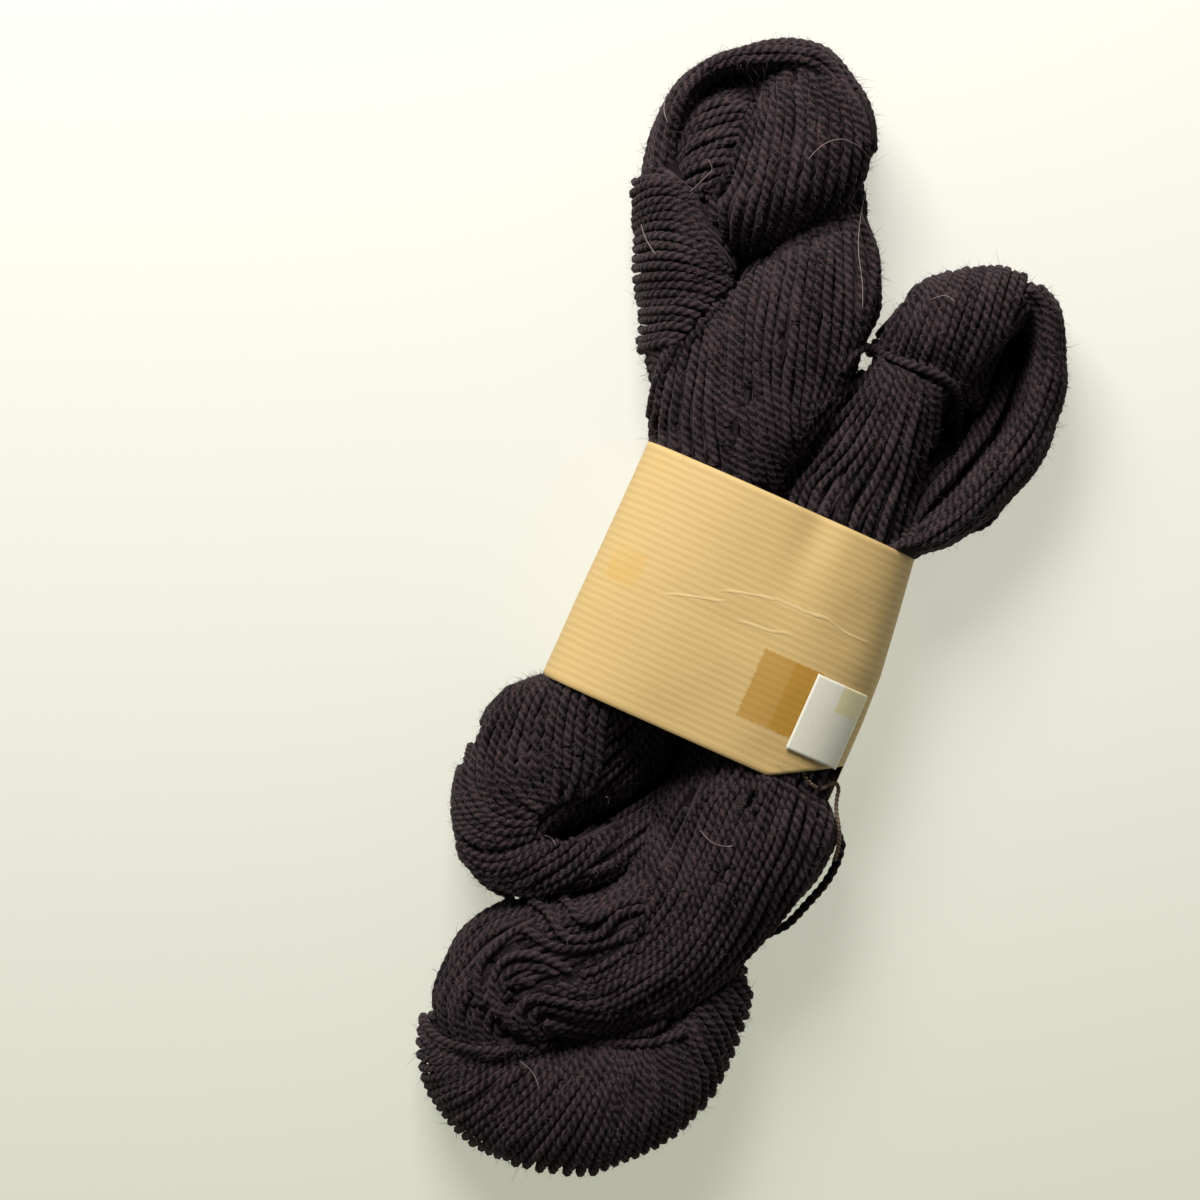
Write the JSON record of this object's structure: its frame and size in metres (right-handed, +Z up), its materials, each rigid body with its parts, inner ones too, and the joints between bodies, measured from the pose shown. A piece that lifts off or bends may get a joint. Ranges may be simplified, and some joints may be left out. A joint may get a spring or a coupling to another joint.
{
  "type": "skein of wool yarn in a paper band",
  "caption": "Dark plied wool yarn in small twisted hanks, held side by side by a ribbed kraft paper band with a bare slip.",
  "frame": {"origin": "middle of the band's flat underside, on the plane that the skein lies on", "axes": "+Z up, +Y along the band's tube towards the hanks' heads, +X across the band"},
  "size_m": [0.1235, 0.2865, 0.044],
  "materials": {
    "dark_wool": "matte plied wool, dark aubergine, slightly hairy",
    "brown_thread": "matte light brown thread",
    "kraft_paper": "ribbed kraft paper, satin, creased",
    "white_paper": "smooth white paper"
  },
  "bodies": {
    "root": {"hank_left": "dark_wool", "hank_right": "dark_wool", "neck_tie": "dark_wool", "brown_thread": "brown_thread", "paper_band": "kraft_paper", "paper_slip": "white_paper"}
  },
  "joints": []
}
